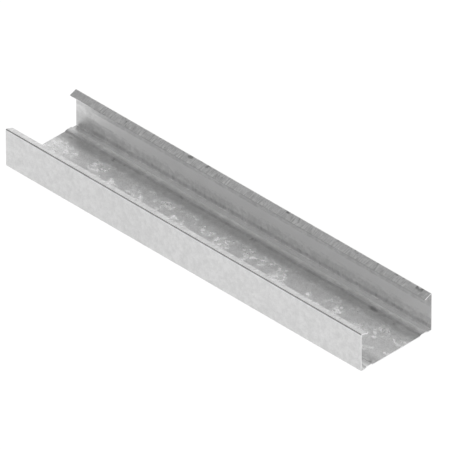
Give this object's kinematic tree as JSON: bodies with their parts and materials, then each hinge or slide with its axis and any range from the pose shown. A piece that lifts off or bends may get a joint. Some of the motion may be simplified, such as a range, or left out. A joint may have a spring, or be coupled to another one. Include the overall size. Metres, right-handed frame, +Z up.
{
  "type": "ceiling channel",
  "caption": "Cold-rolled galvanised steel C channel for suspended plasterboard ceilings: a shallow trough with a beaded web and lips turned inwards, its ends cut square.",
  "frame": {"origin": "the middle of the web's underside, half way along the channel, on the floor that it lies on", "axes": "X runs along the channel, Y across it from flange to flange, Z up out of the open side"},
  "size_m": [0.3, 0.06, 0.027],
  "materials": {
    "galvanised_steel": "satin"
  },
  "bodies": {
    "root": {"ceiling_channel": "galvanised_steel"}
  },
  "joints": []
}
